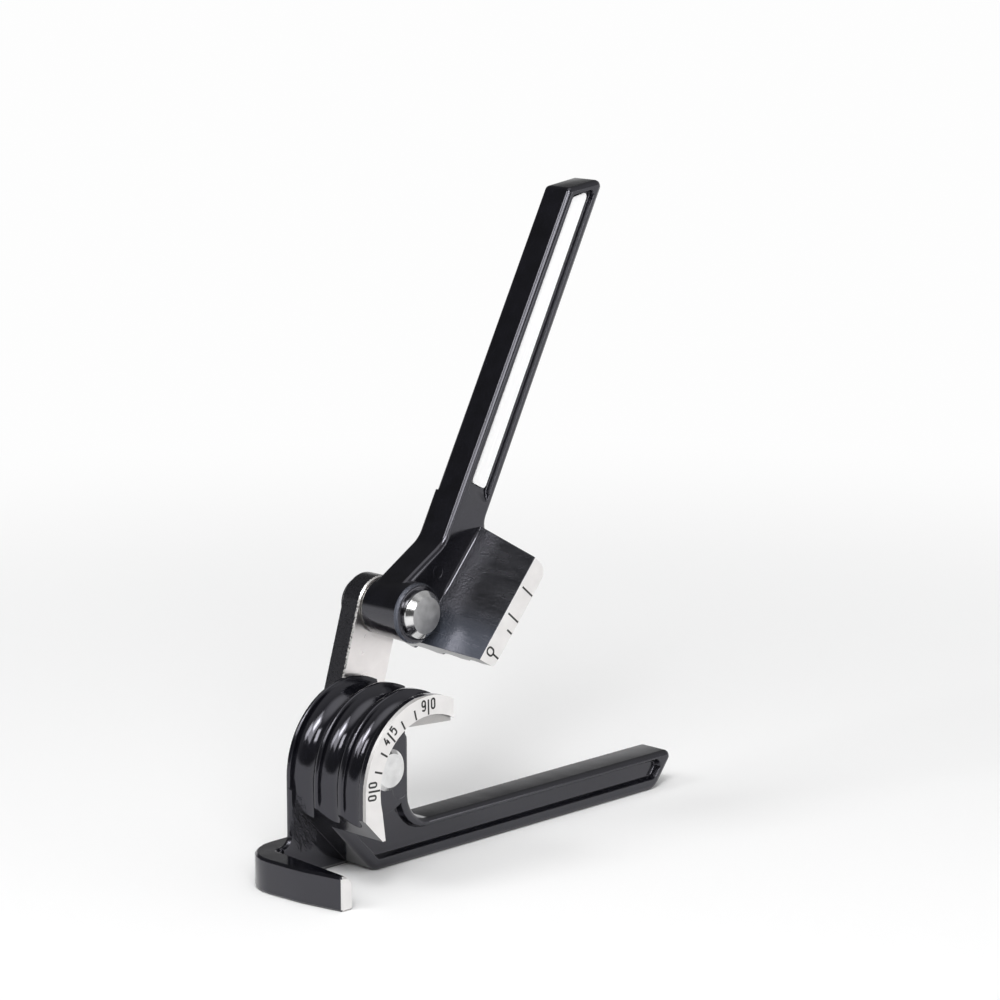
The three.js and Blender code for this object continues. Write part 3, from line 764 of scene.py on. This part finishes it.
def turned_steel_material(name, centre, dark, light, low, high):
    """Turned steel: rings of tool marks a fifth of a millimetre apart round the pin's own axis."""
    material, tree = empty_material(name)
    place = add(tree, "TexCoord", {}, {}).outputs["Object"]
    about = add(tree, "Mapping", {}, {
        "Vector": place, "Location": (-centre[0], -centre[1], -centre[2])}).outputs["Vector"]
    rings = add(tree, "TexWave", {"wave_type": "RINGS", "rings_direction": "Y"}, {
        "Vector": about, "Scale": wave_period / lathe_pitch, "Distortion": 0.8, "Detail": 2,
        "Detail Scale": 3}).outputs["Fac"]
    clouds = noise(tree, place, pin_cloud, 4)
    shader = add(tree, "BsdfPrincipled", {}, {
        "Base Color": mixed_colour(tree, spread(tree, clouds, 0, 1), dark, light),
        "Metallic": 1.0,
        "Roughness": spread(tree, clouds, low, high),
        "Normal": raised(tree, rings, lathe_depth)})
    add(tree, "OutputMaterial", {}, {"Surface": shader.outputs["BSDF"]})
    return material


def head_faces(node):
    """Chooser for the flat disc of a pin's head, which is turned more coarsely than the rest."""
    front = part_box(node)[0].y

    def choose(centres, normals):
        return (centres[:, 1] < front + face_slack).astype(int)
    return choose


form_bright = turned_steel_material(
    "turned_steel_form_pin", form_pivot, "DADADA", "EBEBEB", 0.14, 0.22)
form_disc = turned_steel_material(
    "faced_steel_form_pin", form_pivot, "D2D2D2", "E6E6E6", 0.28, 0.38)
finished("form_pivot_pin", "form", [form_bright, form_disc],
         head_faces("form_pivot_pin"))
shoe_bright = turned_steel_material(
    "turned_steel_shoe_pin", shoe_pivot, "DADADA", "EBEBEB", 0.10, 0.18)
# Painted shade: this disc is the same faced steel as the form pin's disc, given a darker grey.
shoe_disc_painted_shade = turned_steel_material(
    "faced_steel_shoe_pin_painted_shade", shoe_pivot, "A2A2A3", "BDBDBE", 0.30, 0.42)
finished("handle_pivot_pin", "link", [shoe_bright, shoe_disc_painted_shade],
         head_faces("handle_pivot_pin"))


# Washers and retaining rings.
# Thin plated washers run between the castings, the link and the rings. The open rings are spring
# steel with a dark phosphate finish, and snap into the pins' grooves.

scuff_size = 1.5e-3
scuff_depth = 0.004e-3
crystal_size = 0.3e-3
crystal_depth = 0.01e-3


def plated_washer_material():
    """Dull plated sheet steel, scuffed where it runs."""
    material, tree = empty_material("plated_washer_steel")
    place = add(tree, "TexCoord", {}, {}).outputs["Object"]
    scuffs = noise(tree, place, scuff_size, 6, 1.0)
    shader = add(tree, "BsdfPrincipled", {}, {
        "Base Color": mixed_colour(tree, spread(tree, scuffs, 0, 1), "A9A8A4", "C4C3C0"),
        "Metallic": 1.0,
        "Roughness": spread(tree, scuffs, 0.3, 0.45),
        "Normal": raised(tree, scuffs, scuff_depth)})
    add(tree, "OutputMaterial", {}, {"Surface": shader.outputs["BSDF"]})
    return material


def phosphated_spring_material():
    """Phosphated spring steel: dark grey crystals under a film of oil."""
    material, tree = empty_material("phosphated_spring_steel")
    place = add(tree, "TexCoord", {}, {}).outputs["Object"]
    crystals = noise(tree, place, crystal_size, 3)
    shader = add(tree, "BsdfPrincipled", {}, {
        "Base Color": mixed_colour(tree, spread(tree, crystals, 0, 1), "3A3B3E", "54555A"),
        "Metallic": 0.7,
        "Roughness": spread(tree, crystals, 0.35, 0.5),
        "Normal": raised(tree, crystals, crystal_depth)})
    add(tree, "OutputMaterial", {}, {"Surface": shader.outputs["BSDF"]})
    return material


washer_steel = plated_washer_material()
spring_steel = phosphated_spring_material()
for node, body in (("form_thrust_washer", "form"), ("form_rear_washer", "form"),
                   ("shoe_thrust_washer", "link"), ("shoe_rear_washer", "link")):
    finished(node, body, [washer_steel])
for node, body in (("form_retaining_ring", "form"), ("shoe_retaining_ring", "link")):
    finished(node, body, [spring_steel])


# Label plate.
# A thin strip of white anodised aluminium that lies in the grip's pocket, its face finely brushed
# along its length. It is narrower than the pocket and lies against the pocket's left side.

grip_angle = 62.3
label_share = 0.86
brush_size = 0.25e-3
brush_depth = 0.003e-3


def white_anodised_material():
    """White anodised sheet: almost white, with a fine grain along the strip."""
    material, tree = empty_material("white_anodised_aluminium")
    place = add(tree, "TexCoord", {}, {}).outputs["Object"]
    brushed = add(tree, "Mapping", {"vector_type": "TEXTURE"}, {
        "Vector": place, "Rotation": (0, -math.radians(grip_angle), 0),
        "Scale": (20, 1, 1)}).outputs["Vector"]
    grain = noise(tree, brushed, brush_size, 5)
    shader = add(tree, "BsdfPrincipled", {}, {
        "Base Color": mixed_colour(tree, spread(tree, grain, 0, 1), "F1F1F2", "FAFAFA"),
        "Metallic": 0.15,
        "Roughness": spread(tree, grain, 0.3, 0.42),
        "Normal": raised(tree, grain, brush_depth)})
    add(tree, "OutputMaterial", {}, {"Surface": shader.outputs["BSDF"]})
    return material


def narrowed(piece, across, share):
    """Moves the far side of a piece towards its near side, measured along a direction."""
    points = np.zeros(3 * len(piece.data.vertices))
    piece.data.vertices.foreach_get("co", points)
    points = points.reshape(-1, 3)
    place = points @ across
    points -= ((1 - share) * (place - place.min()))[:, None] * across
    piece.data.vertices.foreach_set("co", points.ravel())
    piece.data.update()


grip_turn = math.radians(grip_angle)
label = finished("label_plate", "shoe", [white_anodised_material()])
narrowed(label, np.array([math.sin(grip_turn), 0, -math.cos(grip_turn)]), label_share)
